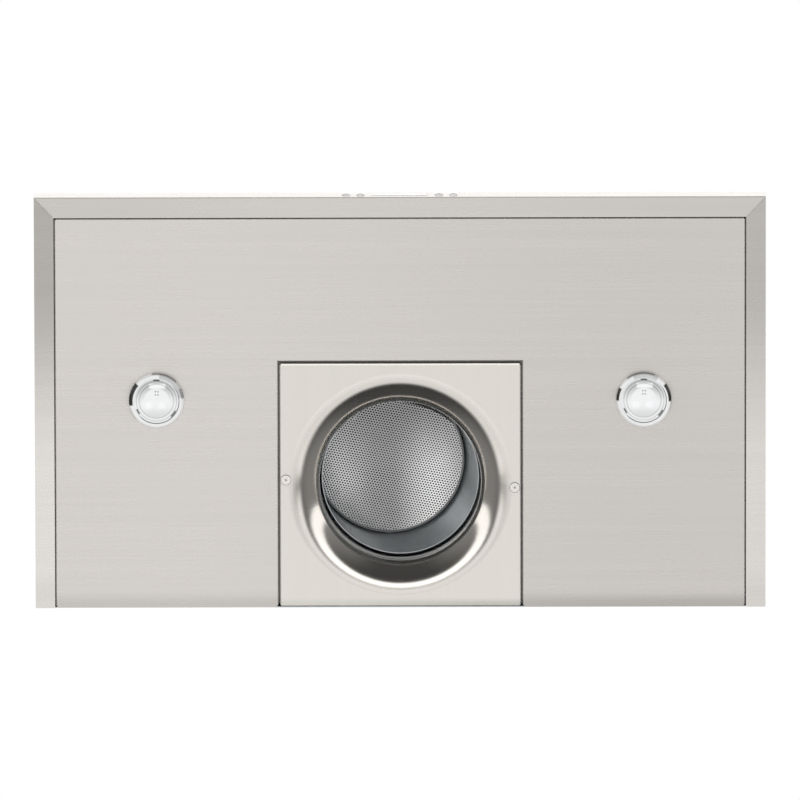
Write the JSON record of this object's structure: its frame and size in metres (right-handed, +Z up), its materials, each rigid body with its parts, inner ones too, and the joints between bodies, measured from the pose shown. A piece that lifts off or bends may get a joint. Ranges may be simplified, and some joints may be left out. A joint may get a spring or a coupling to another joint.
{
  "type": "wall mount range hood",
  "caption": "Stainless wall mount range hood: low sloped canopy, telescopic square chimney, round bell-mouth inlet with mesh filter, lamps and push buttons on the front.",
  "frame": {"origin": "on the wall plane, in the middle of the hood's width, level with the underside", "axes": "+X to the right along the width as seen by someone facing the wall, +Y towards the wall, +Z up"},
  "size_m": [0.9, 0.5155, 0.6485],
  "materials": {
    "brushed_steel": "brushed stainless steel, satin",
    "plate_steel": "lighter satin stainless steel",
    "zinc_sheet": "galvanised sheet",
    "chrome": "bright chrome",
    "button_metal": "polished metal",
    "screw_steel": "polished steel",
    "filter_mesh": "woven aluminium mesh",
    "flap_aluminium": "plain aluminium",
    "lens_glass": "clear glass",
    "bulb_glass": "bulb glass",
    "ceramic": "white ceramic",
    "black_plastic": "black plastic",
    "circuit_board": "green circuit board",
    "smoked_window": "smoked plastic, glossy",
    "display_grey": "display block",
    "impeller_plastic": "dark glass-filled plastic",
    "motor_metal": "cast aluminium",
    "white_plastic": "white plastic"
  },
  "bodies": {
    "canopy": {"canopy_shell": "brushed_steel", "back_sheet": "zinc_sheet", "bottom_panel": "brushed_steel", "inlet_collar": "zinc_sheet", "lamp_bezel_left": "chrome", "lamp_bezel_right": "chrome", "lamp_lens_left": "lens_glass", "lamp_lens_right": "lens_glass", "lamp_reflector_left": "chrome", "lamp_reflector_right": "chrome", "lamp_bulb_left": "bulb_glass", "lamp_bulb_right": "bulb_glass", "lamp_socket_left": "ceramic", "lamp_socket_right": "ceramic", "lamp_housing_left": "zinc_sheet", "lamp_housing_right": "zinc_sheet", "control_housing": "black_plastic", "control_board": "circuit_board", "display_window": "smoked_window", "display_module": "display_grey", "blower_box": "zinc_sheet", "blower_cover": "zinc_sheet", "cover_screws": "screw_steel", "box_screws": "screw_steel", "scroll_housing": "zinc_sheet", "motor": "motor_metal", "motor_bracket": "zinc_sheet", "motor_screws": "screw_steel", "capacitor": "white_plastic", "cable_gland": "black_plastic", "duct_collar": "black_plastic", "collar_screws": "screw_steel", "chimney_lower": "brushed_steel", "terminal_box": "white_plastic", "terminal_cover": "white_plastic", "lamp_transformer": "black_plastic"},
    "plate": {"inlet_plate": "plate_steel", "plate_screws": "screw_steel"},
    "filter": {"mesh_rim": "filter_mesh", "mesh_net": "filter_mesh"},
    "rotor": {"impeller": "impeller_plastic", "fan_shaft": "screw_steel"},
    "front_flap": {"flap_front": "flap_aluminium"},
    "rear_flap": {"flap_rear": "flap_aluminium"},
    "upper_chimney": {"chimney_upper": "brushed_steel", "chimney_bracket": "zinc_sheet", "chimney_screws": "screw_steel"},
    "key_1": {"button_1": "button_metal"},
    "key_2": {"button_2": "button_metal"},
    "key_3": {"button_3": "button_metal"},
    "key_4": {"button_4": "button_metal"}
  },
  "joints": [
    {"name": "button_1_press", "type": "slide", "parent": "canopy", "child": "key_1", "axis": [0, 1, 0], "range_m": [0, 0.0015], "stiffness_N_per_m": 400, "springref_m": -0.001},
    {"name": "button_2_press", "type": "slide", "parent": "canopy", "child": "key_2", "axis": [0, 1, 0], "range_m": [0, 0.0015], "stiffness_N_per_m": 400, "springref_m": -0.001},
    {"name": "button_3_press", "type": "slide", "parent": "canopy", "child": "key_3", "axis": [0, 1, 0], "range_m": [0, 0.0015], "stiffness_N_per_m": 400, "springref_m": -0.001},
    {"name": "button_4_press", "type": "slide", "parent": "canopy", "child": "key_4", "axis": [0, 1, 0], "range_m": [0, 0.0015], "stiffness_N_per_m": 400, "springref_m": -0.001},
    {"name": "plate_lift_off", "type": "slide", "parent": "canopy", "child": "plate", "axis": [0, 0, -1], "range_m": [0, 0.15]},
    {"name": "filter_slide_out", "type": "slide", "parent": "canopy", "child": "filter", "axis": [0.1945, 0.1543, -0.9687], "range_m": [0, 0.06]},
    {"name": "impeller_spin", "type": "hinge", "parent": "canopy", "child": "rotor", "pos_m": [0, -0.178, 0.27683], "axis": [1, 0, 0], "continuous": true},
    {"name": "front_flap_swing", "type": "hinge", "parent": "canopy", "child": "front_flap", "pos_m": [0, -0.113, 0.412], "axis": [-1, 0, 0], "range_deg": [0, 80]},
    {"name": "rear_flap_swing", "type": "hinge", "parent": "canopy", "child": "rear_flap", "pos_m": [0, -0.105, 0.412], "axis": [1, 0, 0], "range_deg": [0, 80]},
    {"name": "chimney_slide", "type": "slide", "parent": "canopy", "child": "upper_chimney", "axis": [0, 0, 1], "range_m": [0, 0.29]}
  ]
}
